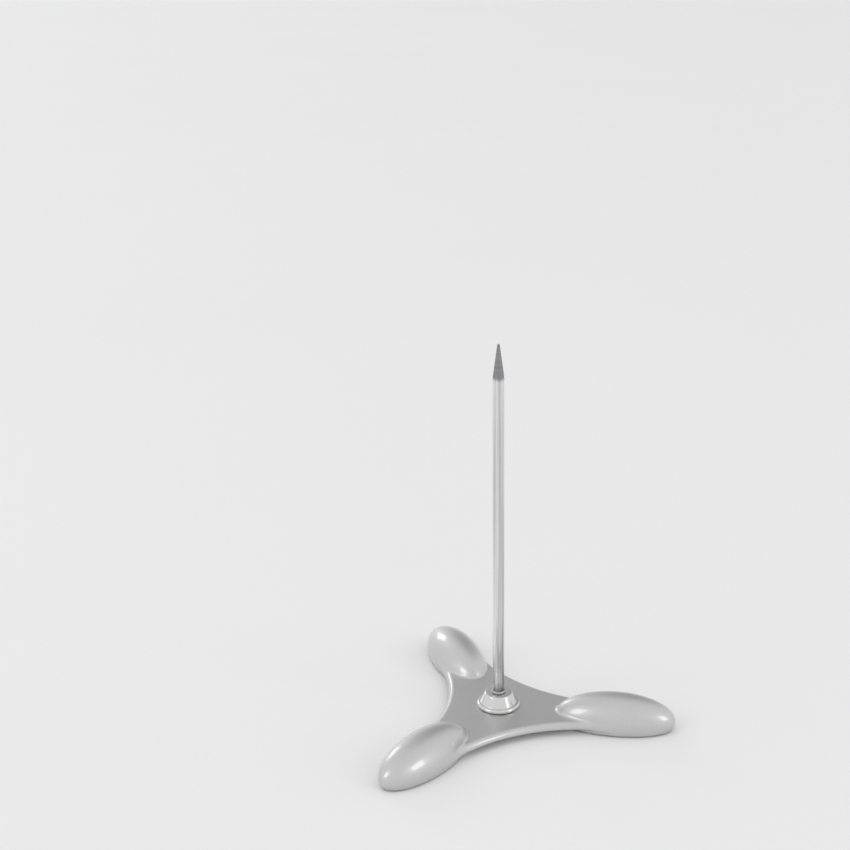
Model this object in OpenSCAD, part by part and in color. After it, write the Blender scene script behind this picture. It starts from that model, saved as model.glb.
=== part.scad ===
// Bill spike: a pointed spindle on a three-armed base with a pod at the end of each arm.
// Millimetres. The table is z = 0, the spindle stands on the Z axis and one arm points along +X.

/* [Base] */
// Distance from the spindle to the middle of a pod
pod_r = 41.3; // [40.6:0.1:43]
// Length of a pod along its arm
pod_len = 41.8; // [40:0.1:42.4]
// Diameter of a pod at its middle
pod_d = 18; // [17.8:0.1:18.6]
// Height of a pod's axis above the table
pod_axis_z = 3.2; // [3:0.1:3.4]
// Wall thickness of a pod
pod_wall = 1.8; // [1.4:0.1:2.2]
// Height of the deck's flat top above the table
deck_top = 4.8; // [4.6:0.1:5]
// Thickness of the deck
deck_t = 2.5; // [2.3:0.1:2.8]
// Distance from the spindle to the middle of a concave side
waist_r = 18.7; // [18.2:0.1:19]
// Width of an arm at its narrowest
arm_w = 17; // [16.6:0.1:17.2]
// Rounding of the deck's upper edge
edge_r = 2; // [1:0.1:2.2]

/* [Feet] */
// How far a foot stands out below its pod
foot_proud = 0.5; // [0.3:0.1:0.7]
// How far a foot's tread is set in from its plug
foot_step = 0.8; // [0.4:0.1:1.2]
// Width of a tread groove
groove_w = 1.2; // [0.8:0.1:1.6]
// Depth of a tread groove
groove_depth = 0.4; // [0.2:0.1:0.6]
// Tread grooves on each foot, an even number so that a land lies in the middle
groove_count = 6; // [4:2:8]

/* [Hub] */
// Diameter of the collar's foot
collar_foot_d = 15.2; // [14.8:0.1:16]
// Diameter of the collar's crown
collar_top_d = 10.2; // [10.2:0.1:10.8]
// Height of the collar above the deck
collar_h = 5.2; // [5.2:0.1:5.6]
// Diameter of the thread between the stud and the collar
thread_d = 9; // [8.4:0.1:9]
// Rise of that thread in one turn
thread_pitch = 0.75; // [0.6:0.05:0.8]

/* [Spindle] */
// Height of the point above the table
spike_h = 138; // [110:1:160]
// Diameter of the spindle
rod_d = 4; // [3.6:0.1:4.2]
// Length of the ground point
point_len = 12; // [8:0.5:16]
// Diameter of the blunted tip
tip_d = 0.8; // [0.5:0.1:1]

/* [Hidden] */
$fn = 96;

// Clearances: a running fit, a fixed joint and a loose slug
run_gap = 0.05;
fixed_gap = 0.1;
slug_gap = 0.3;
// Cutters reach this far past what they cut
past = 1;

// Base: the sides of an arm are arcs about points between the arms
arms = 3;
arm_step = 360 / arms;
bay_r = (waist_r * sin(arm_step / 2) - arm_w / 2) / (1 - sin(arm_step / 2));
bay_centre = waist_r + bay_r;
deck_bottom = deck_top - deck_t;
// The deck ends inside the pods, where its sides touch them
deck_reach = bay_centre * cos(arm_step / 2) + past;
rim_z = foot_proud;

// Stud, from its flange on the deck down through washer and nut
stud_flange_d = 11.2;
stud_flange_t = 1;
stud_d = 7;
stud_flat = 2.9;
stud_pitch = 0.75;
deck_web = 1.7;
recess_d = 14;
recess_z = deck_top - deck_web;
washer_d = 11;
washer_t = 0.4;
washer_teeth = 12;
tooth_gap = 1;
tooth_depth = 1;
nut_flats = 10;
nut_t = 1.6;
nut_z = recess_z - washer_t - nut_t;
stud_end = 0.2;
socket_floor = 1;
stud_z = nut_z - stud_end;
thread_z = deck_top + stud_flange_t;
thread_depth = 0.6;

// Collar, from the deck up
collar_top = deck_top + collar_h;
collar_web = 0.85;
bead_r = 0.8;
crown_r = 0.6;
shank_d = 12.6;

// Spindle: its flange lies between the stud's top and the collar's web
flange_d = 6.8;
flange_t = 1;
flange_z = collar_top - collar_web - run_gap - flange_t;
foot_bevel = 0.4;
ring_wire = 0.9;
ring_seat = 0.3;
ring_r = rod_d / 2 + ring_wire / 2 - ring_seat;
ring_z = collar_top + run_gap + ring_wire / 2;
ring_open = 30;

// Repeats a shape on every arm
module each_arm() {
    for (i = [0 : arms - 1])
        rotate(arm_step * i)
            children();
}

// A pod's egg-shaped body, inset by the same amount all over
module egg(inset) {
    translate([pod_r, 0, pod_axis_z])
        scale([pod_len / 2 - inset, pod_d / 2 - inset, pod_d / 2 - inset])
            sphere(1);
}

// A straight oval plug with a pod's plan outline
module egg_plug(inset, low, high) {
    translate([pod_r, 0, low])
        scale([pod_len / 2 - inset, pod_d / 2 - inset, 1])
            cylinder(r = 1, h = high - low);
}

// Half-space cutter below or above a height
module slab(low, high) {
    size = 2 * (pod_r + pod_len);
    translate([-size / 2, -size / 2, low])
        cube([size, size, high - low]);
}

// Rounded-edge cutter for one concave side of the deck
module bay() {
    rotate(arm_step / 2)
        translate([bay_centre, 0, 0])
            rotate_extrude() {
                translate([0, deck_bottom - past])
                    square([bay_r, deck_t + 2 * past]);
                difference() {
                    translate([0, deck_top - edge_r])
                        square([bay_r + edge_r, edge_r + past]);
                    translate([bay_r + edge_r, deck_top - edge_r])
                        circle(edge_r);
                }
            }
}

module deck() {
    difference() {
        translate([0, 0, deck_bottom])
            cylinder(r = deck_reach, h = deck_t);
        each_arm() bay();
    }
}

// Round bar with a flat, for the stud and its hole
module d_bar(r, flat, low, high) {
    difference() {
        translate([0, 0, low])
            cylinder(r = r, h = high - low);
        translate([flat, -r, low - past])
            cube([r, 2 * r, high - low + 2 * past]);
    }
}

module base_shell() {
    color([0.7, 0.7, 0.71])
        difference() {
            union() {
                deck();
                each_arm() egg(0);
            }
            slab(-pod_d, rim_z);
            each_arm() {
                difference() {
                    egg(pod_wall);
                    slab(-pod_d, pod_axis_z);
                }
                egg_plug(pod_wall, rim_z - past, pod_axis_z);
            }
            d_bar(stud_d / 2 + fixed_gap, stud_flat + fixed_gap, deck_bottom - past, deck_top + past);
            translate([0, 0, deck_bottom - past])
                cylinder(d = recess_d, h = recess_z - deck_bottom + past);
        }
}

// Section of a threaded bar: one ridge for each pitch
module thread_section(d, pitch, low, high) {
    turns = floor((high - low) / pitch);
    ridge = [
        for (i = [0 : turns - 1])
            each [
                [d / 2 - thread_depth, low + pitch * i],
                [d / 2, low + pitch * (i + 0.4)],
                [d / 2, low + pitch * (i + 0.6)]
            ]
    ];
    polygon(concat(
        [[0, low]],
        ridge,
        [[d / 2 - thread_depth, low + pitch * turns], [d / 2 - thread_depth, high], [0, high]]
    ));
}

module hub_stud() {
    color([0.55, 0.56, 0.58])
        difference() {
            union() {
                rotate_extrude()
                    thread_section(thread_d, thread_pitch, thread_z, flange_z);
                translate([0, 0, deck_top])
                    cylinder(d = stud_flange_d, h = stud_flange_t);
                d_bar(stud_d / 2, stud_flat, recess_z - washer_t, deck_top);
                intersection() {
                    rotate_extrude()
                        thread_section(stud_d, stud_pitch, stud_z, recess_z - washer_t);
                    d_bar(stud_d, stud_flat, stud_z, recess_z);
                }
            }
            translate([0, 0, stud_z + socket_floor])
                cylinder(d = rod_d + 2 * run_gap, h = flange_z - stud_z);
        }
}

module lock_washer() {
    color([0.46, 0.46, 0.47])
        difference() {
            translate([0, 0, recess_z - washer_t])
                cylinder(d = washer_d, h = washer_t);
            translate([0, 0, recess_z - washer_t - past])
                cylinder(d = stud_d + 2 * fixed_gap, h = washer_t + 2 * past);
            for (i = [0 : washer_teeth - 1])
                rotate(360 * i / washer_teeth)
                    translate([washer_d / 2 - tooth_depth, -tooth_gap / 2, recess_z - washer_t - past])
                        cube([tooth_depth + past, tooth_gap, washer_t + 2 * past]);
        }
}

module ring_nut() {
    color([0.6, 0.6, 0.58])
        difference() {
            translate([0, 0, nut_z])
                cylinder(d = nut_flats / cos(30), h = nut_t, $fn = 6);
            translate([0, 0, nut_z - past])
                cylinder(d = stud_d + 2 * fixed_gap, h = nut_t + 2 * past);
        }
}

// Iron slug that fills the upper half of a pod and rests on its foot
module ballast(arm) {
    color([0.3, 0.3, 0.31])
        rotate(arm_step * arm)
            difference() {
                egg(pod_wall + slug_gap);
                slab(-pod_d, pod_axis_z);
            }
}

// Rubber plug with a grooved tread
module foot(arm) {
    groove_pitch = (pod_len - 2 * pod_wall) / (groove_count + 1);
    color([0.12, 0.12, 0.12])
        rotate(arm_step * arm)
            difference() {
                union() {
                    egg_plug(pod_wall + fixed_gap, rim_z, pod_axis_z);
                    egg_plug(pod_wall + foot_step, -past, rim_z);
                }
                slab(-pod_d, 0);
                for (i = [1 : groove_count])
                    translate([
                        pod_r - pod_len / 2 + pod_wall + groove_pitch * i - groove_w / 2,
                        -pod_d / 2,
                        -past
                    ])
                        cube([groove_w, pod_d, groove_depth + past]);
            }
}

// Plain rod with a ground point, a flange that the collar bears on and a groove for the snap ring
module spindle() {
    foot_z = stud_z + socket_floor + run_gap;
    rod_r = rod_d / 2;
    color([0.78, 0.78, 0.79])
        rotate_extrude()
            difference() {
                polygon([
                    [0, foot_z],
                    [rod_r - foot_bevel, foot_z],
                    [rod_r, foot_z + foot_bevel],
                    [rod_r, flange_z],
                    [flange_d / 2, flange_z],
                    [flange_d / 2, flange_z + flange_t],
                    [rod_r, flange_z + flange_t],
                    [rod_r, spike_h - point_len],
                    [tip_d / 2, spike_h],
                    [0, spike_h]
                ]);
                translate([ring_r, ring_z])
                    circle(d = ring_wire);
            }
}

// Open ring of round wire, sprung into the spindle's groove
module snap_ring() {
    color([0.46, 0.46, 0.47])
        translate([0, 0, ring_z])
            rotate(180 + ring_open / 2)
                rotate_extrude(angle = 360 - ring_open)
                    translate([ring_r, 0])
                        circle(d = ring_wire);
}

// Section of the collar's outside: beaded foot, conical side and rounded crown
module collar_outside() {
    foot_r = collar_foot_d / 2;
    top_r = collar_top_d / 2;
    shank_r = shank_d / 2;
    translate([0, deck_top]) {
        square([foot_r - bead_r, 2 * bead_r]);
        translate([foot_r - bead_r, bead_r])
            circle(bead_r);
        polygon([
            [0, 0],
            [shank_r, 2 * bead_r],
            [top_r, collar_h - crown_r],
            [top_r - crown_r, collar_h],
            [0, collar_h]
        ]);
        translate([top_r - crown_r, collar_h - crown_r])
            circle(crown_r);
    }
}

module collar_nut() {
    bore_r = thread_d / 2 + run_gap;
    relief_r = stud_flange_d / 2 + fixed_gap;
    relief_z = thread_z + fixed_gap;
    color([0.8, 0.8, 0.8])
        rotate_extrude()
            difference() {
                collar_outside();
                translate([0, deck_top - past])
                    square([relief_r, relief_z - deck_top + past]);
                translate([0, deck_top])
                    square([bore_r, collar_h - collar_web]);
                square([rod_d / 2 + run_gap, collar_top + past]);
            }
}

base_shell();
hub_stud();
lock_washer();
ring_nut();
ballast(0);  // ballast_right
ballast(1);  // ballast_back
ballast(2);  // ballast_front
foot(0);  // foot_right
foot(1);  // foot_back
foot(2);  // foot_front
spindle();
snap_ring();
collar_nut();
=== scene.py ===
# Bill spike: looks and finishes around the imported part, in metres, in the part's own frame.
import itertools
import math

import bpy
import numpy as np
from mathutils import Matrix, Quaternion, Vector


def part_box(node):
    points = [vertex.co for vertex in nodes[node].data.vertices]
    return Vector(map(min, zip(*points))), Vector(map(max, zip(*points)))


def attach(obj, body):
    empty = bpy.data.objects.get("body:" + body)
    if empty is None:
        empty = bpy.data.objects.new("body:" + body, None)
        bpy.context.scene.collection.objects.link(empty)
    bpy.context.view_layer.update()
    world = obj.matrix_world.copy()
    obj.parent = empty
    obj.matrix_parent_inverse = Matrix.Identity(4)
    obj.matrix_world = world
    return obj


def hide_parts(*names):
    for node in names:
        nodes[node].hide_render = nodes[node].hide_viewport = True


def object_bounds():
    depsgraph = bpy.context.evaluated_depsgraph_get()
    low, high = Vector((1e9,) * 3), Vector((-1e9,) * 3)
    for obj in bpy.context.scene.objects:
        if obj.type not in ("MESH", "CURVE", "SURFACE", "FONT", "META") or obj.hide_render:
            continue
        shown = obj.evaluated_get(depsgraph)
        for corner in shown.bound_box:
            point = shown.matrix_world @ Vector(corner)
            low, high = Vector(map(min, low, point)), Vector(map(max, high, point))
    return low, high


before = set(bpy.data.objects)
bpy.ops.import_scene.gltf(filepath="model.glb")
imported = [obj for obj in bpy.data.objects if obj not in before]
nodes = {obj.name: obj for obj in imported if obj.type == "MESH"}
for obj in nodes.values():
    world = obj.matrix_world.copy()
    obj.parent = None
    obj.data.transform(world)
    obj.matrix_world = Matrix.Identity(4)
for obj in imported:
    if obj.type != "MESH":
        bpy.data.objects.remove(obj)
cad_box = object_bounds()

# Shapes are worked out in millimetres, and each mesh is scaled once
MM = 0.001
TINY = 1e-6


def levels(node):
    """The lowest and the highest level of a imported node, in millimetres."""
    low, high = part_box(node)
    return low.z / MM, high.z / MM


# Gaps between pieces that run on each other, between fixed ones, and round a slug
RUN_GAP = 0.05
FIXED_GAP = 0.1
SLUG_GAP = 0.3

# Base: a deck with three arms and concave sides, and an egg-shaped pod on each arm
ARM_STEP = math.radians(120)
POD_R = 41.3
POD_HALF = (20.9, 9.0, 9.0)
POD_WALL = 1.8
POD_AXIS_Z = levels("foot_right")[1]
RIM_Z = levels("base_shell")[0]
RIM_R = 0.25
DECK_TOP, COLLAR_TOP = levels("collar_nut")
DECK_T = 2.5
DECK_BOTTOM = DECK_TOP - DECK_T
DECK_OVERLAP = 1.0
WAIST_R = 18.7
ARM_W = 17.0
BAY_R = (WAIST_R * math.sin(ARM_STEP / 2) - ARM_W / 2) / (1 - math.sin(ARM_STEP / 2))
BAY_CENTRE = WAIST_R + BAY_R
BAY_X = BAY_CENTRE * math.cos(ARM_STEP / 2)
BAY_Y = BAY_CENTRE * math.sin(ARM_STEP / 2)
EDGE_R = 2.0
LOWER_EDGE_R = 0.4
CREASE_R = 0.9
BLEND_R = 2.5
BLEND_TUCK = 1.0
POCKET_R = 0.4

# Recess under the deck, the stud through it and the nut that clamps it
DECK_WEB = 1.7
RECESS_R = 7.0
RECESS_Z = DECK_TOP - DECK_WEB
STUD_R = 3.5
STUD_FLAT = 2.9
STUD_FLANGE_R = 5.6
STUD_FLANGE_T = 1.0
THREAD_R = 4.5
NUT_Z, NUT_TOP = levels("ring_nut")
NUT_T = NUT_TOP - NUT_Z
NUT_FLATS = 10.0
NUT_FLAT_TURNS = [math.radians(30 + 60 * k) for k in range(3)]
NUT_EDGE_R = 0.25
NUT_CHAMFER = math.radians(30)
NUT_BORE_R = STUD_R + FIXED_GAP
SINK_DEPTH = 0.3
SINK_SLOPE = math.radians(45)

# Feet and slugs
FOOT_STEP = 0.8
FOOT_EDGE_R = 0.3
GROOVES = 6
GROOVE_W = 1.2
GROOVE_DEPTH = 0.4
GROOVE_EDGE_R = 0.15
SLUG_EDGE_R = 0.5

# Collar: beaded foot, conical side and rounded crown
COLLAR_FOOT_R = 7.6
COLLAR_WEB = 0.85
WEB_Z = COLLAR_TOP - COLLAR_WEB
BEAD_R = 0.8
BEAD_ROUND_R = BEAD_R - 0.01
SHANK_R = 6.3
SHANK_FILLET_R = 0.25
CROWN_CORNER_R = 4.86
CROWN_ROUND_R = 0.6
HOLE_LEAD = 0.35

# Spindle: bevelled foot, bearing flange, snap ring groove, plain rod and ground point
SPINDLE_FOOT_Z, SPIKE_H = levels("spindle")
ROD_R = 2.0
ROD_SPLITS = (40, 80)
POINT_LEN = 12.0
POINT_SHOULDER_R = 2.5
TIP_R = 0.4
TIP_ROUND_R = 0.36
FOOT_BEVEL = 0.4
FLANGE_R = 3.4
FLANGE_T = 1.0
FLANGE_TOP = WEB_Z - RUN_GAP
FLANGE_Z = FLANGE_TOP - FLANGE_T
RING_WIRE_R = 0.45
RING_SEAT = 0.3
RING_R = ROD_R + RING_WIRE_R - RING_SEAT
RING_Z = COLLAR_TOP + RUN_GAP + RING_WIRE_R
GROOVE_STEPS = 8

# How far the edges of turned pieces are broken: outside, in corners, at the bevel and in bores
EDGE_BREAK = 0.15
CORNER_BREAK = 0.1
BEVEL_BREAK = 0.08
BORE_BREAK = 0.05


# Solids as fields of distance, negative inside

def union_fillet(a, b, r):
    """Two solids as one, with a fillet of radius r in the corner between them."""
    inner = np.hypot(np.maximum(r - a, 0), np.maximum(r - b, 0))
    return np.maximum(r, np.minimum(a, b)) - inner


def shared_rounded(a, b, r):
    """What two solids share, with its edge rounded to radius r."""
    outer = np.hypot(np.maximum(r + a, 0), np.maximum(r + b, 0))
    return np.minimum(-r, np.maximum(a, b)) + outer


def onto_arm(x, y):
    """A point turned onto the arm along +X and mirrored to that arm's +Y side."""
    turn = np.round(np.arctan2(y, x) / ARM_STEP) * ARM_STEP
    c, s = np.cos(turn), np.sin(turn)
    return x * c + y * s, np.abs(y * c - x * s)


def oval(offsets, halves):
    """Distance from an egg or an oval plug, close to its surface."""
    near = sum((p / a) ** 2 for p, a in zip(offsets, halves))
    steep = np.sqrt(sum((p / a ** 2) ** 2 for p, a in zip(offsets, halves)))
    return (near - 1) / (2 * steep + TINY)


def pod_egg(x, y, z, inset=0.0):
    """The egg of the pod along +X, or a smaller one inside it."""
    return oval((x - POD_R, y, z - POD_AXIS_Z), [half - inset for half in POD_HALF])


def pod_plug(x, y, inset):
    """An upright oval inside the outline of the pod along +X."""
    return oval((x - POD_R, y), [half - inset for half in POD_HALF[:2]])


def pod_hollow(x, y, z):
    """The inside of a pod: an egg above the pod's axis and straight down from there."""
    return pod_egg(x, y, np.maximum(z, POD_AXIS_Z), POD_WALL)


def deck(x, y, z):
    """The deck on the arm along +X, with its side blended into the pod's outline."""
    side = np.maximum(BAY_R - np.hypot(x - BAY_X, y - BAY_Y), x - BAY_X - DECK_OVERLAP)
    side = union_fillet(side, pod_plug(x, y, BLEND_TUCK), BLEND_R)
    upper = shared_rounded(side, z - DECK_TOP, EDGE_R)
    return shared_rounded(upper, DECK_BOTTOM - z, LOWER_EDGE_R)


def base_shell_field(x, y, z):
    """Deck and hollow pods, with the recess for the nut and the flatted hole for the stud."""
    from_axis = np.hypot(x, y)
    stud_hole = np.maximum(from_axis - STUD_R, x - STUD_FLAT) - FIXED_GAP
    recess = shared_rounded(from_axis - RECESS_R, z - RECESS_Z, POCKET_R)
    x, y = onto_arm(x, y)
    solid = union_fillet(pod_egg(x, y, z), deck(x, y, z), CREASE_R)
    solid = shared_rounded(solid, RIM_Z - z, RIM_R)
    solid = shared_rounded(solid, -pod_hollow(x, y, z), POCKET_R)
    solid = shared_rounded(solid, -recess, POCKET_R)
    return np.maximum(solid, -stud_hole)


def foot_field(x, y, z):
    """The foot of the arm along +X: a plug with a stepped, grooved tread."""
    over_top = z - POD_AXIS_Z
    plug = np.maximum(pod_plug(x, y, POD_WALL + FIXED_GAP), np.maximum(RIM_Z - z, over_top))
    tread = shared_rounded(pod_plug(x, y, POD_WALL + FOOT_STEP), -z, FOOT_EDGE_R)
    solid = np.minimum(plug, np.maximum(tread, over_top))
    half = POD_HALF[0] - POD_WALL
    pitch = 2 * half / (GROOVES + 1)
    along = x - POD_R + half
    nearest = np.clip(np.round(along / pitch), 1, GROOVES) * pitch
    groove = np.maximum(np.abs(along - nearest) - GROOVE_W / 2, z - GROOVE_DEPTH)
    return shared_rounded(solid, -groove, GROOVE_EDGE_R)


def slug_field(x, y, z):
    """The slug of the arm along +X, flat where it rests on its foot."""
    return shared_rounded(pod_egg(x, y, z, POD_WALL + SLUG_GAP), POD_AXIS_Z - z, SLUG_EDGE_R)


def ring_nut_field(x, y, z):
    """Six flats with chamfered corners and a countersunk bore."""
    across = [np.abs(x * math.cos(a) + y * math.sin(a)) - NUT_FLATS / 2 for a in NUT_FLAT_TURNS]
    solid = shared_rounded(across[0], shared_rounded(across[1], across[2], NUT_EDGE_R), NUT_EDGE_R)
    from_middle = np.abs(z - NUT_Z - NUT_T / 2) - NUT_T / 2
    solid = shared_rounded(solid, from_middle, NUT_EDGE_R)
    from_axis = np.hypot(x, y)
    chamfer = (from_axis - NUT_FLATS / 2) * math.sin(NUT_CHAMFER) + from_middle * math.cos(NUT_CHAMFER)
    countersink = (NUT_BORE_R + SINK_DEPTH + from_middle - from_axis) * math.sin(SINK_SLOPE)
    bore = np.maximum(NUT_BORE_R - from_axis, countersink)
    return shared_rounded(shared_rounded(solid, chamfer, NUT_EDGE_R), bore, NUT_EDGE_R)


# Skins: pieces whose faces lie on a field's zero level

def slope_of(field, points):
    """How the field rises at each point."""
    reach = 1e-3
    rise = [
        field(*(points + reach * way).T) - field(*(points - reach * way).T)
        for way in np.eye(3)
    ]
    return np.stack(rise, 1) / (2 * reach)


def drawn_on(field, points, most, rounds=4):
    """Points moved onto the field's zero level, none further than most in one round."""
    for _ in range(rounds):
        slope = slope_of(field, points)
        move = -slope * (field(*points.T) / np.maximum((slope ** 2).sum(1), TINY))[:, None]
        length = np.maximum(np.linalg.norm(move, axis=1), TINY)
        points = points + move * np.minimum(1, most / length)[:, None]
    return points


def evened(points, quads):
    """Points moved halfway to the middle of their neighbours along the edges."""
    total = np.zeros_like(points)
    seen = np.zeros(len(points))
    for a, b in ((0, 1), (1, 2), (2, 3), (3, 0)):
        for p, q in ((a, b), (b, a)):
            np.add.at(total, quads[:, p], points[quads[:, q]])
            np.add.at(seen, quads[:, p], 1)
    return (points + total / seen[:, None]) / 2


def cells_crossed(field, span, step):
    """The middle of each grid cell that the zero level crosses, and the faces that join them."""
    low, high = span
    axes = [np.arange(a, b + step, step) for a, b in zip(low, high)]
    solid = field(*np.meshgrid(*axes, indexing="ij")) < 0
    cells = [len(a) - 1 for a in axes]
    filled = sum(
        solid[i:i + cells[0], j:j + cells[1], k:k + cells[2]].astype(int)
        for i, j, k in itertools.product((0, 1), repeat=3)
    )
    crossed = (filled > 0) & (filled < 8)
    number = np.full(crossed.shape, -1)
    number[crossed] = np.arange(crossed.sum())
    quads = []
    for axis in range(3):
        order = (axis, (axis + 1) % 3, (axis + 2) % 3)
        s = np.transpose(solid, order)
        n = np.transpose(number, order)
        i, j, k = np.nonzero(s[:-1, 1:-1, 1:-1] != s[1:, 1:-1, 1:-1])
        ring = np.stack([n[i, j, k], n[i, j + 1, k], n[i, j + 1, k + 1], n[i, j, k + 1]], 1)
        outward = s[i, j + 1, k + 1]
        quads.append(np.where(outward[:, None], ring, ring[:, ::-1]))
    return np.array(low) + step * (np.argwhere(crossed) + 0.5), np.concatenate(quads)


def placed(name, mesh):
    piece = bpy.data.objects.new(name, mesh)
    bpy.context.scene.collection.objects.link(piece)
    return piece


def skin(name, field, span, step, even_passes=8):
    """A piece with a corner in each crossed cell, drawn onto the level and evened out along it."""
    points, quads = cells_crossed(field, span, step)
    points = drawn_on(field, points, step)
    for _ in range(even_passes):
        points = drawn_on(field, evened(points, quads), step)
    normals = slope_of(field, points)
    normals /= np.linalg.norm(normals, axis=1)[:, None]
    mesh = bpy.data.meshes.new(name)
    mesh.from_pydata((points * MM).tolist(), [], quads.tolist())
    mesh.polygons.foreach_set("use_smooth", np.ones(len(quads), bool))
    mesh.normals_split_custom_set_from_vertices(normals.tolist())
    return placed(name, mesh)


# Turned pieces: a section of (radius, height) spun about the spindle's axis

def eased(corners, steps=6):
    """Section points from (radius, height, easing) corners, each corner rounded by its easing."""
    path = []
    last = len(corners) - 1
    for i, (r, z, ease) in enumerate(corners):
        here = Vector((r, z))
        if not ease or i in (0, last):
            path.append(here)
            continue
        before = (Vector(corners[i - 1][:2]) - here).normalized()
        after = (Vector(corners[i + 1][:2]) - here).normalized()
        half = before.angle(after) / 2
        reach = ease / math.tan(half)
        middle = here + (before + after).normalized() * (ease / math.sin(half))
        start = here + before * reach - middle
        turn = start.angle_signed(here + after * reach - middle)
        for k in range(steps + 1):
            path.append(middle + Matrix.Rotation(-turn * k / steps, 2) @ start)
    return path


def turned(name, path, around=128):
    """A lathe-turned piece; points on the axis become single corners."""
    points, rings = [], []
    for r, z in path:
        first = len(points)
        if r < TINY:
            points.append((0, 0, z * MM))
            rings.append([first] * around)
            continue
        for k in range(around):
            a = 2 * math.pi * k / around
            points.append((r * math.cos(a) * MM, r * math.sin(a) * MM, z * MM))
        rings.append(list(range(first, first + around)))
    faces = []
    for lower, upper in zip(rings, rings[1:]):
        for k in range(around):
            m = (k + 1) % around
            face = list(dict.fromkeys((lower[k], lower[m], upper[m], upper[k])))
            if len(face) > 2:
                faces.append(face)
    mesh = bpy.data.meshes.new(name)
    mesh.from_pydata(points, [], faces)
    mesh.polygons.foreach_set("use_smooth", np.ones(len(faces), bool))
    return placed(name, mesh)


def spindle_section():
    """From the middle of the foot up the outside to the middle of the blunted tip."""
    reach = math.sqrt(RING_WIRE_R ** 2 - (RING_R - ROD_R) ** 2)
    lower = eased([
        (0, SPINDLE_FOOT_Z, 0),
        (ROD_R - FOOT_BEVEL, SPINDLE_FOOT_Z, BEVEL_BREAK),
        (ROD_R, SPINDLE_FOOT_Z + FOOT_BEVEL, EDGE_BREAK),
        (ROD_R, FLANGE_Z, CORNER_BREAK),
        (FLANGE_R, FLANGE_Z, EDGE_BREAK),
        (FLANGE_R, FLANGE_TOP, EDGE_BREAK),
        (ROD_R, FLANGE_TOP, CORNER_BREAK),
        (ROD_R, RING_Z - reach, 0),
    ])
    groove = []
    for k in range(1, GROOVE_STEPS):
        up = -reach + 2 * reach * k / GROOVE_STEPS
        groove.append(Vector((RING_R - math.sqrt(RING_WIRE_R ** 2 - up ** 2), RING_Z + up)))
    upper = eased([
        (ROD_R, RING_Z + reach, 0),
        *[(ROD_R, z, 0) for z in ROD_SPLITS],
        (ROD_R, SPIKE_H - POINT_LEN, POINT_SHOULDER_R),
        (TIP_R, SPIKE_H, TIP_ROUND_R),
        (0, SPIKE_H, 0),
    ])
    return lower + groove + upper


def collar_section():
    """Up the outside, and down inside through the rod hole, the thread bore and the stud's relief."""
    bead_top = DECK_TOP + 2 * BEAD_R
    hole_r = ROD_R + RUN_GAP
    bore_r = THREAD_R + RUN_GAP
    relief_r = STUD_FLANGE_R + FIXED_GAP
    relief_z = DECK_TOP + STUD_FLANGE_T + FIXED_GAP
    return eased([
        (relief_r, DECK_TOP, 0),
        (COLLAR_FOOT_R, DECK_TOP, BEAD_ROUND_R),
        (COLLAR_FOOT_R, bead_top, BEAD_ROUND_R),
        (SHANK_R, bead_top, SHANK_FILLET_R),
        (CROWN_CORNER_R, COLLAR_TOP, CROWN_ROUND_R),
        (hole_r + HOLE_LEAD, COLLAR_TOP, CORNER_BREAK),
        (hole_r, COLLAR_TOP - HOLE_LEAD, CORNER_BREAK),
        (hole_r, WEB_Z, BORE_BREAK),
        (bore_r, WEB_Z, BORE_BREAK),
        (bore_r, relief_z, CORNER_BREAK),
        (relief_r, relief_z, CORNER_BREAK),
        (relief_r, DECK_TOP, 0),
    ])


# Pieces: the size of a skin's cells, and the low and high corner of the box each skin is looked for in
CELL = 0.4
FINE_CELL = 0.15
BASE_SPAN = ((-49, -56.5, -0.5), (64, 56.5, 13.5))
NUT_SPAN = ((-6.25, -6.25, 0.85), (6.25, 6.25, 3.0))
FOOT_SPAN = ((21, -8.5, -0.5), (61.5, 8.5, 4.0))
SLUG_SPAN = ((21, -8.5, 2.7), (61.5, 8.5, 10.7))

base_shell = skin("base_shell_lacquered", base_shell_field, BASE_SPAN, CELL)
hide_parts("base_shell")
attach(base_shell, "stand")

spindle = turned("spindle_rod", spindle_section())
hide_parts("spindle")
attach(spindle, "spindle")

collar = turned("collar_turned", collar_section())
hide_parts("collar_nut")
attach(collar, "collar")

nut = skin("ring_nut_chamfered", ring_nut_field, NUT_SPAN, FINE_CELL)
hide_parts("ring_nut")
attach(nut, "stand")

feet = []
slugs = []
for arm, turn in (("right", 0), ("back", 1), ("front", 2)):
    foot = skin("foot_tread_" + arm, foot_field, FOOT_SPAN, CELL, even_passes=0)
    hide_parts("foot_" + arm)
    feet.append(foot)
    slug = skin("slug_cast_" + arm, slug_field, SLUG_SPAN, CELL)
    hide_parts("ballast_" + arm)
    slugs.append(slug)
    for piece in (foot, slug):
        piece.data.transform(Matrix.Rotation(turn * ARM_STEP, 4, "Z"))
        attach(piece, "stand")


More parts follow.
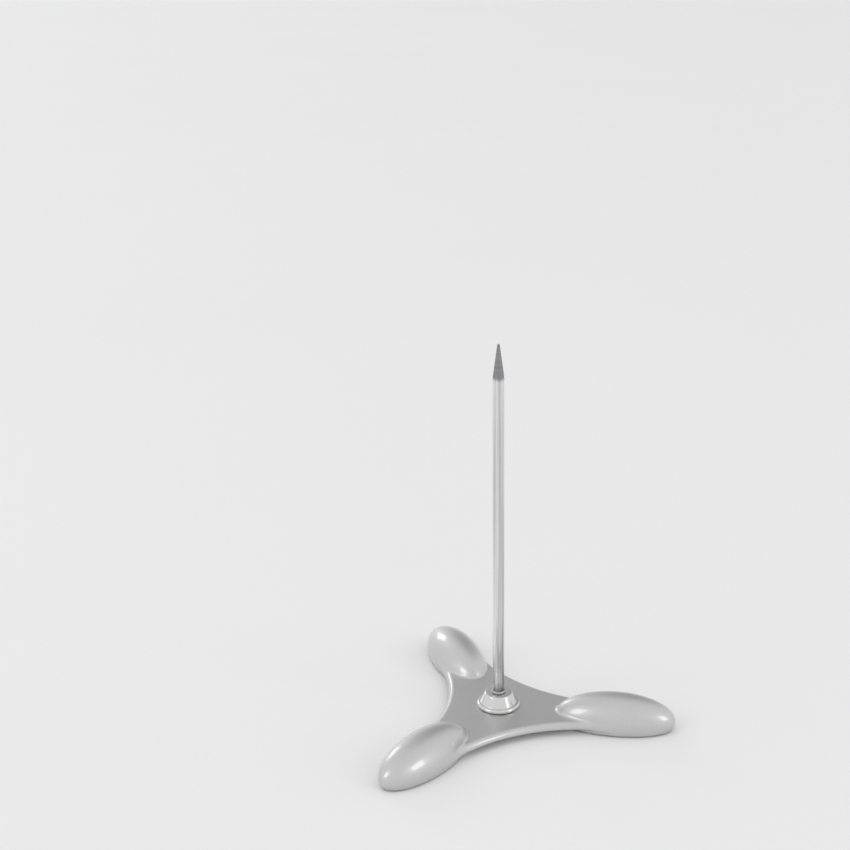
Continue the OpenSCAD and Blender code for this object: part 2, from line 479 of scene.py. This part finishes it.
# Finishes: the colours of lacquer, metals and rubber, of what wear lays over them, and of the painted
# shade on the rod's point and the painted reflection streak along the rod
FLAKE_DARK = (0.54, 0.54, 0.545, 1)
FLAKE_BRIGHT = (0.62, 0.62, 0.63, 1)
ROD_BRIGHT = (0.90, 0.90, 0.905, 1)
# Partly real drawing marks and partly a painted reflection: the darker lines also stand in for dark
# surroundings mirrored down one side of the rod
ROD_LINES_AND_PAINTED_STREAK = (0.58, 0.58, 0.59, 1)
# Painted shade: the two colours of the ground point, dark to stand in for the darkness it reflects
POINT_PAINTED_SHADE_DARK = (0.22, 0.22, 0.23, 1)
POINT_PAINTED_SHADE_LIGHT = (0.36, 0.36, 0.37, 1)
NICKEL = (0.72, 0.72, 0.715, 1)
TURNED_STEEL = (0.55, 0.56, 0.58, 1)
SPRING_STEEL = (0.46, 0.46, 0.47, 1)
ZINC = (0.60, 0.60, 0.57, 1)
CAST_IRON = (0.28, 0.28, 0.29, 1)
RUBBER_BLACK = (0.018, 0.018, 0.019, 1)
RUBBER_GREY = (0.045, 0.044, 0.043, 1)
TARNISH = (0.30, 0.29, 0.27, 1)
RUBBED_BRIGHT = (0.80, 0.80, 0.80, 1)
DUST = (0.62, 0.61, 0.59, 1)
METAL = {"Metallic": 1.0}
WHOLE = (0.0, 1.0)

# Each run of hair scratches: its turn in radians, and how many times longer than wide they are
SCRATCH_RUNS = ((0.4, 18), (1.5, 24), (2.5, 15))
SCRATCH_TILT = (0.2, 0.1)
SCRATCH_HALF_WIDTH = 0.012
NOISE_MIDDLE = 0.5
FACE_RING_RATIO = 1.7

# How strongly haze tints a metal, and what haze, scratches and dust add to its roughness
HAZE_TINTS = 0.2
HAZE_ROUGHENS = 0.06
SCRATCH_ROUGHENS = 0.2
DUST_ROUGHENS = 0.5

# Where the ground point, roughened and painted dark as shade, starts above its shoulder and is full, and
# how ragged that line is
GRIND_FADE = (0.8, 2.2)
GRIND_RAGGED = 3.0
GRIND_ROUGHENS = 0.10
BROAD_LINE_SHARE = 0.65


def add(tree, kind, ins=(), **settings):
    """A shader node with its settings and inputs; an input that is a socket is linked."""
    made = tree.nodes.new(kind)
    for key, value in settings.items():
        setattr(made, key, value)
    for key, value in dict(ins).items():
        if isinstance(value, bpy.types.NodeSocket):
            tree.links.new(value, made.inputs[key])
        else:
            made.inputs[key].default_value = value
    return made


def math_on(tree, operation, a, b=0.0):
    return add(tree, "ShaderNodeMath", {0: a, 1: b}, operation=operation).outputs[0]


def times(tree, a, b):
    return math_on(tree, "MULTIPLY", a, b)


def plus(tree, a, b):
    return math_on(tree, "ADD", a, b)


def spread(tree, value, span, to=WHOLE):
    """A value taken from one span to another and held there."""
    ins = {"Value": value, "From Min": span[0], "From Max": span[1], "To Min": to[0], "To Max": to[1]}
    return add(tree, "ShaderNodeMapRange", ins).outputs["Result"]


def noise(tree, vector, scale, detail=2.0, roughness=0.5):
    ins = {"Vector": vector, "Scale": scale, "Detail": detail, "Roughness": roughness}
    return add(tree, "ShaderNodeTexNoise", ins).outputs["Fac"]


def stretched(tree, vector, scale, turn=(0, 0, 0)):
    ins = {"Vector": vector, "Scale": scale, "Rotation": turn}
    return add(tree, "ShaderNodeMapping", ins).outputs["Vector"]


def mixed(tree, amount, a, b):
    """Colour a with colour b over it by amount."""
    return add(tree, "ShaderNodeMix", {0: amount, 6: a, 7: b}, data_type="RGBA").outputs[2]


def surface_place(tree):
    return add(tree, "ShaderNodeTexCoord").outputs["Object"]


def split(tree, vector):
    return add(tree, "ShaderNodeSeparateXYZ", {"Vector": vector}).outputs


def length_of(tree, vector):
    return add(tree, "ShaderNodeVectorMath", {0: vector}, operation="LENGTH").outputs["Value"]


# Effects: groups that several finishes share

def effect(name, ins, outs):
    """An empty effect group whose sockets take their kind and default from the values given."""
    tree = bpy.data.node_groups.new(name, "ShaderNodeTree")
    for way, sockets in (("INPUT", ins), ("OUTPUT", outs)):
        for label, value in sockets.items():
            kind = "NodeSocketColor" if isinstance(value, tuple) else "NodeSocketFloat"
            tree.interface.new_socket(label, in_out=way, socket_type=kind).default_value = value
    return tree, tree.nodes.new("NodeGroupInput").outputs, tree.nodes.new("NodeGroupOutput").inputs


def use(tree, group, **ins):
    """An effect placed in a material or in another effect."""
    return add(tree, "ShaderNodeGroup", ins, node_tree=group).outputs


def make_hair_scratches():
    """Thin scratches that run several ways over a polished face."""
    tree, ins, outs = effect("hair_scratches", {"Scale": 60.0, "Amount": 0.25}, {"Mask": 0.0})
    place = surface_place(tree)
    found = None
    for turn, long in SCRATCH_RUNS:
        run = stretched(tree, place, (1, long, long), (*SCRATCH_TILT, turn))
        off_middle = math_on(tree, "SUBTRACT", noise(tree, run, ins["Scale"], detail=1.0), NOISE_MIDDLE)
        line = spread(tree, math_on(tree, "ABSOLUTE", off_middle), (0, SCRATCH_HALF_WIDTH), to=(1, 0))
        found = line if found is None else math_on(tree, "MAXIMUM", found, line)
    patch = spread(tree, noise(tree, place, scale=55.0), (0.5, 0.7))
    tree.links.new(times(tree, times(tree, found, patch), ins["Amount"]), outs["Mask"])
    return tree


def make_handling_haze():
    """Faint cloudy haze left by handling."""
    tree, ins, outs = effect("handling_haze", {"Scale": 45.0, "Amount": 0.4}, {"Mask": 0.0})
    cloud = noise(tree, surface_place(tree), ins["Scale"], detail=4.0, roughness=0.6)
    haze = spread(tree, cloud, (0.42, 0.72))
    tree.links.new(times(tree, haze, ins["Amount"]), outs["Mask"])
    return tree


def make_settled_dust():
    """Specks and a thin film of dust on faces that look up."""
    tree, ins, outs = effect("settled_dust", {"Amount": 0.1}, {"Mask": 0.0})
    place = surface_place(tree)
    normal = add(tree, "ShaderNodeNewGeometry").outputs["Normal"]
    up = spread(tree, split(tree, normal)["Z"], (0.5, 1.0))
    film = spread(tree, noise(tree, place, scale=90.0, detail=5.0, roughness=0.7), (0.4, 0.8), to=(0, 0.5))
    speck = spread(tree, noise(tree, place, scale=2600.0, detail=1.0), (0.70, 0.76))
    settled = times(tree, math_on(tree, "MAXIMUM", film, speck), up)
    tree.links.new(times(tree, settled, ins["Amount"]), outs["Mask"])
    return tree


def make_rubbed_edges():
    """Edges rubbed brighter than the faces beside them."""
    tree, ins, outs = effect("rubbed_edges", {"Start": 0.52, "Full": 0.6, "Amount": 0.3}, {"Mask": 0.0})
    sharp = add(tree, "ShaderNodeNewGeometry").outputs["Pointiness"]
    edge = spread(tree, sharp, (ins["Start"], ins["Full"]))
    ragged = spread(tree, noise(tree, surface_place(tree), scale=400.0, detail=3.0), (0.3, 0.6))
    tree.links.new(times(tree, times(tree, edge, ragged), ins["Amount"]), outs["Mask"])
    return tree


def make_lathe_rings():
    """Fine rings left by turning or grinding about the spindle's axis."""
    tree, ins, outs = effect("lathe_rings", {"Scale": 4000.0, "Depth": 1.0}, {"Height": 0.0})
    part = split(tree, surface_place(tree))
    flat = add(tree, "ShaderNodeCombineXYZ", {"X": part["X"], "Y": part["Y"]}).outputs[0]
    along = plus(tree, times(tree, length_of(tree, flat), FACE_RING_RATIO), part["Z"])
    run = add(tree, "ShaderNodeCombineXYZ", {"X": along}).outputs[0]
    ring = noise(tree, run, ins["Scale"], detail=3.0, roughness=0.7)
    tree.links.new(times(tree, ring, ins["Depth"]), outs["Height"])
    return tree


def make_orange_peel():
    """Shallow lumps of a sprayed, plated or cast skin."""
    tree, ins, outs = effect("orange_peel", {"Scale": 160.0, "Depth": 0.3}, {"Height": 0.0})
    lump = noise(tree, surface_place(tree), ins["Scale"], detail=1.0)
    tree.links.new(times(tree, lump, ins["Depth"]), outs["Height"])
    return tree


HAIR_SCRATCHES = make_hair_scratches()
HANDLING_HAZE = make_handling_haze()
SETTLED_DUST = make_settled_dust()
RUBBED_EDGES = make_rubbed_edges()
LATHE_RINGS = make_lathe_rings()
ORANGE_PEEL = make_orange_peel()


def make_metal_wear():
    """Haze, hair scratches, dust and rubbed edges over a metal's own colour, roughness and height."""
    own = {"Colour": RUBBED_BRIGHT, "Roughness": 0.3, "Height": 0.0}
    tree, ins, outs = effect("metal_wear", own, own)
    haze = use(tree, HANDLING_HAZE)["Mask"]
    scratch = use(tree, HAIR_SCRATCHES)["Mask"]
    film = use(tree, SETTLED_DUST)["Mask"]
    edge = use(tree, RUBBED_EDGES)["Mask"]
    tint = mixed(tree, times(tree, haze, HAZE_TINTS), ins["Colour"], TARNISH)
    tint = mixed(tree, edge, tint, RUBBED_BRIGHT)
    tree.links.new(mixed(tree, film, tint, DUST), outs["Colour"])
    rough = ins["Roughness"]
    for mask, added in ((haze, HAZE_ROUGHENS), (scratch, SCRATCH_ROUGHENS), (film, DUST_ROUGHENS)):
        rough = plus(tree, rough, times(tree, mask, added))
    tree.links.new(rough, outs["Roughness"])
    tree.links.new(math_on(tree, "SUBTRACT", ins["Height"], scratch), outs["Height"])
    return tree


METAL_WEAR = make_metal_wear()


# Materials, one for each finish

def finish(name, constants):
    """A new material, its nodes and its shader, with the constants set on the shader."""
    material = bpy.data.materials.new(name)
    material.use_nodes = True
    shader = material.node_tree.nodes["Principled BSDF"]
    for key, value in constants.items():
        shader.inputs[key].default_value = value
    return material, material.node_tree, shader


def bump(tree, shader, height, strength, depth):
    made = add(tree, "ShaderNodeBump", {"Height": height, "Strength": strength, "Distance": depth})
    tree.links.new(made.outputs["Normal"], shader.inputs["Normal"])


def wear(tree, shader, **own):
    """Wear over a metal's own Colour, Roughness and Height."""
    worn = use(tree, METAL_WEAR, **own)
    tree.links.new(worn["Colour"], shader.inputs["Base Color"])
    tree.links.new(worn["Roughness"], shader.inputs["Roughness"])
    bump(tree, shader, worn["Height"], strength=0.05, depth=0.01 * MM)


def silver_lacquer():
    """Silver lacquer on the moulded shell: fine metal flakes under a clear gloss coat."""
    material, tree, shader = finish("silver_lacquer", {**METAL, "Coat Roughness": 0.09, "Coat IOR": 2.0})
    ins = {"Vector": surface_place(tree), "Scale": 9000.0}
    flake = add(tree, "ShaderNodeTexVoronoi", ins).outputs["Color"]
    tone = add(tree, "ShaderNodeSeparateColor", {"Color": flake}).outputs["Red"]
    colour = mixed(tree, tone, FLAKE_DARK, FLAKE_BRIGHT)
    rough = spread(tree, tone, WHOLE, to=(0.38, 0.46))
    wear(tree, shader, Colour=colour, Roughness=rough, Height=use(tree, ORANGE_PEEL)["Height"])
    haze = use(tree, HANDLING_HAZE, Amount=1.0)["Mask"]
    tree.links.new(spread(tree, haze, WHOLE, to=(1.0, 0.85)), shader.inputs["Coat Weight"])
    return material


def drawn_rod():
    """Drawn steel with lines along it, whose broad dark streaks are partly a painted reflection, and a
    ground point painted dark as shade.
    """
    material, tree, shader = finish("drawn_rod_steel", METAL)
    place = surface_place(tree)
    # The broad streaks set where the painted reflection streak falls; the fine ones are drawing marks
    broad = noise(tree, stretched(tree, place, (1, 1, 0.012)), scale=750.0, detail=1.0)
    fine = noise(tree, stretched(tree, place, (1, 1, 0.004)), scale=3600.0, roughness=0.7)
    line = plus(tree, times(tree, broad, BROAD_LINE_SHARE), times(tree, fine, 1 - BROAD_LINE_SHARE))
    # Drawn lines mixed into the rod's colour, their dark share partly a painted reflection
    drawn = mixed(tree, spread(tree, line, (0.40, 0.60)), ROD_BRIGHT, ROD_LINES_AND_PAINTED_STREAK)
    rings = use(tree, LATHE_RINGS, Scale=2500.0)["Height"]
    # Painted shade: the point's grinding rings run between two dark colours that stand in for reflected
    # darkness
    grit_in_painted_shade = mixed(tree, spread(tree, rings, (0.35, 0.65)), POINT_PAINTED_SHADE_DARK, POINT_PAINTED_SHADE_LIGHT)
    ragged = plus(tree, split(tree, place)["Z"], times(tree, line, GRIND_RAGGED * MM))
    shoulder = SPIKE_H - POINT_LEN
    ground = spread(tree, ragged, [(shoulder + above) * MM for above in GRIND_FADE])
    rough = spread(tree, line, (0.3, 0.7), to=(0.16, 0.28))
    rough = plus(tree, rough, times(tree, ground, GRIND_ROUGHENS))
    height = plus(tree, line, times(tree, rings, ground))
    wear(tree, shader, Colour=mixed(tree, ground, drawn, grit_in_painted_shade), Roughness=rough, Height=height)
    return material


def lathe_turned(name, colour, roughness, ring_depth):
    """Metal with the fine rings that turning leaves."""
    material, tree, shader = finish(name, METAL)
    rings = use(tree, LATHE_RINGS, Depth=ring_depth)["Height"]
    wear(tree, shader, Colour=colour, Roughness=roughness, Height=rings)
    return material


def lumpy(name, colour, roughness, scale):
    """Plated or cast metal with a fine lumpy skin."""
    material, tree, shader = finish(name, METAL)
    lumps = use(tree, ORANGE_PEEL, Scale=scale, Depth=1.0)["Height"]
    wear(tree, shader, Colour=colour, Roughness=roughness, Height=lumps)
    return material


def moulded_rubber():
    """Black rubber, greyed by dust and by handling."""
    material, tree, shader = finish("moulded_foot_rubber", {"Metallic": 0.0})
    haze = use(tree, HANDLING_HAZE, Amount=0.7)["Mask"]
    film = use(tree, SETTLED_DUST, Amount=0.4)["Mask"]
    tint = mixed(tree, haze, RUBBER_BLACK, RUBBER_GREY)
    tree.links.new(mixed(tree, film, tint, DUST), shader.inputs["Base Color"])
    grain = noise(tree, surface_place(tree), scale=3500.0, detail=3.0)
    tree.links.new(spread(tree, grain, (0.3, 0.7), to=(0.65, 0.85)), shader.inputs["Roughness"])
    bump(tree, shader, grain, strength=0.3, depth=0.05 * MM)
    return material


def show(material, *pieces):
    for piece in pieces:
        piece.data.materials.clear()
        piece.data.materials.append(material)


nickel = lathe_turned("nickel_collar", NICKEL, roughness=0.16, ring_depth=0.5)
stud_steel = lathe_turned("turned_stud_steel", TURNED_STEEL, roughness=0.28, ring_depth=1.5)
spring_steel = lathe_turned("spring_steel", SPRING_STEEL, roughness=0.3, ring_depth=0.6)
zinc = lumpy("zinc_plated_nut", ZINC, roughness=0.35, scale=600.0)
cast_iron = lumpy("cast_slug_iron", CAST_IRON, roughness=0.6, scale=900.0)

show(silver_lacquer(), base_shell)
show(drawn_rod(), spindle)
show(nickel, collar)
show(stud_steel, nodes["hub_stud"])
show(spring_steel, nodes["snap_ring"], nodes["lock_washer"])
show(zinc, nut)
show(cast_iron, *slugs)
show(moulded_rubber(), *feet)


# Camera: where it stands round the hub, and the pixel of the picture that the hub falls on
HUB = Vector((0, 0, DECK_TOP * MM))
CAMERA_SIDE = math.radians(7.44)
CAMERA_HEIGHT = math.radians(29.56)
CAMERA_DISTANCE = 0.549
CAMERA_NEAR = 0.01
FOCAL_PIXELS = 1517
IMAGE_PIXELS = 850
HUB_PIXEL = (498.5, 704.4)
SENSOR_MM = 36


def direction(side, height):
    """Unit vector at an angle round from the front, towards +X, and a height above level."""
    level = math.cos(height)
    return Vector((level * math.sin(side), -level * math.cos(side), math.sin(height)))


def set_camera():
    data = bpy.data.cameras.new("camera")
    data.sensor_width = SENSOR_MM
    data.lens = SENSOR_MM * FOCAL_PIXELS / IMAGE_PIXELS
    data.clip_start = CAMERA_NEAR
    camera = bpy.data.objects.new("camera", data)
    back = direction(CAMERA_SIDE, CAMERA_HEIGHT)
    camera.location = HUB + back * CAMERA_DISTANCE
    hub_right, hub_down = [pixel - IMAGE_PIXELS / 2 for pixel in HUB_PIXEL]
    up = Quaternion((1, 0, 0), math.atan2(hub_down, math.hypot(FOCAL_PIXELS, hub_right)))
    left = Quaternion((0, 1, 0), math.atan2(hub_right, FOCAL_PIXELS))
    camera.rotation_euler = ((-back).to_track_quat("-Z", "Y") @ up @ left).to_euler()
    bpy.context.scene.collection.objects.link(camera)
    bpy.context.scene.camera = camera


# Studio: pale floor, bright room with one dimmer wall, three soft boxes
FLOOR_R = 6.0
FLOOR_SIDES = 96
FLOOR_PALE = (0.90, 0.90, 0.90, 1)
FLOOR_PALER = (0.92, 0.92, 0.92, 1)
ROOM_BRIGHT = 0.86
ROOM_DIM = 0.38
DIM_WAY = direction(CAMERA_SIDE + math.radians(168), CAMERA_HEIGHT)
DIM_WIDE = 0.55
DIM_TALL = 0.85
DIM_FADE = (0.1, 1.0)
LAMP_DISTANCE = 12.0
# Each soft box: degrees round from the front, degrees up, width and length in metres, watts
SOFT_BOXES = {
    "left_box": {"side": -52, "height": 34, "wide": 4.2, "long": 5.4, "watts": 112},
    "right_box": {"side": 72, "height": 25, "wide": 3.6, "long": 4.8, "watts": 92},
    "back_box": {"side": -140, "height": 20, "wide": 2.8, "long": 3.6, "watts": 56},
}


def pale_floor():
    turns = [2 * math.pi * k / FLOOR_SIDES for k in range(FLOOR_SIDES)]
    rim = [(FLOOR_R * math.cos(a), FLOOR_R * math.sin(a), 0) for a in turns]
    mesh = bpy.data.meshes.new("floor")
    mesh.from_pydata(rim, [], [list(range(FLOOR_SIDES))])
    floor = placed("floor", mesh)
    floor.location.z = cad_box[0][2]
    material, tree, shader = finish("pale_floor", {"Roughness": 0.6, "Specular IOR Level": 0.2})
    mottle = noise(tree, surface_place(tree), scale=3.0, detail=3.0)
    tree.links.new(mixed(tree, mottle, FLOOR_PALE, FLOOR_PALER), shader.inputs["Base Color"])
    show(material, floor)


def room_light():
    """Bright room with a dimmer wall behind the part, which the deck mirrors towards the camera."""
    world = bpy.data.worlds.new("studio")
    bpy.context.scene.world = world
    world.use_nodes = True
    tree = world.node_tree
    way = add(tree, "ShaderNodeTexCoord").outputs["Generated"]
    off = add(tree, "ShaderNodeVectorMath", {0: way, 1: DIM_WAY}, operation="SUBTRACT").outputs["Vector"]
    across = DIM_WAY.cross((0, 0, 1)).normalized()
    axes = {"X": across / DIM_WIDE, "Y": across.cross(DIM_WAY) / DIM_TALL, "Z": DIM_WAY / DIM_TALL}
    parts = {
        key: add(tree, "ShaderNodeVectorMath", {0: off, 1: axis}, operation="DOT_PRODUCT").outputs["Value"]
        for key, axis in axes.items()
    }
    apart = add(tree, "ShaderNodeCombineXYZ", parts).outputs[0]
    level = spread(tree, length_of(tree, apart), DIM_FADE, to=(ROOM_DIM, ROOM_BRIGHT))
    level.node.interpolation_type = "SMOOTHSTEP"
    tree.links.new(level, tree.nodes["Background"].inputs["Color"])


def soft_box(name, side, height, wide, long, watts):
    lamp = bpy.data.lights.new(name, "AREA")
    lamp.shape = "RECTANGLE"
    lamp.size = wide
    lamp.size_y = long
    lamp.energy = watts
    box = bpy.data.objects.new(name, lamp)
    way = direction(math.radians(side), math.radians(height))
    box.location = HUB + way * LAMP_DISTANCE
    box.rotation_euler = (-way).to_track_quat("-Z", "Y").to_euler()
    bpy.context.scene.collection.objects.link(box)


set_camera()
pale_floor()
room_light()
for name, box in SOFT_BOXES.items():
    soft_box(name, **box)
bpy.context.scene.view_settings.view_transform = "Standard"
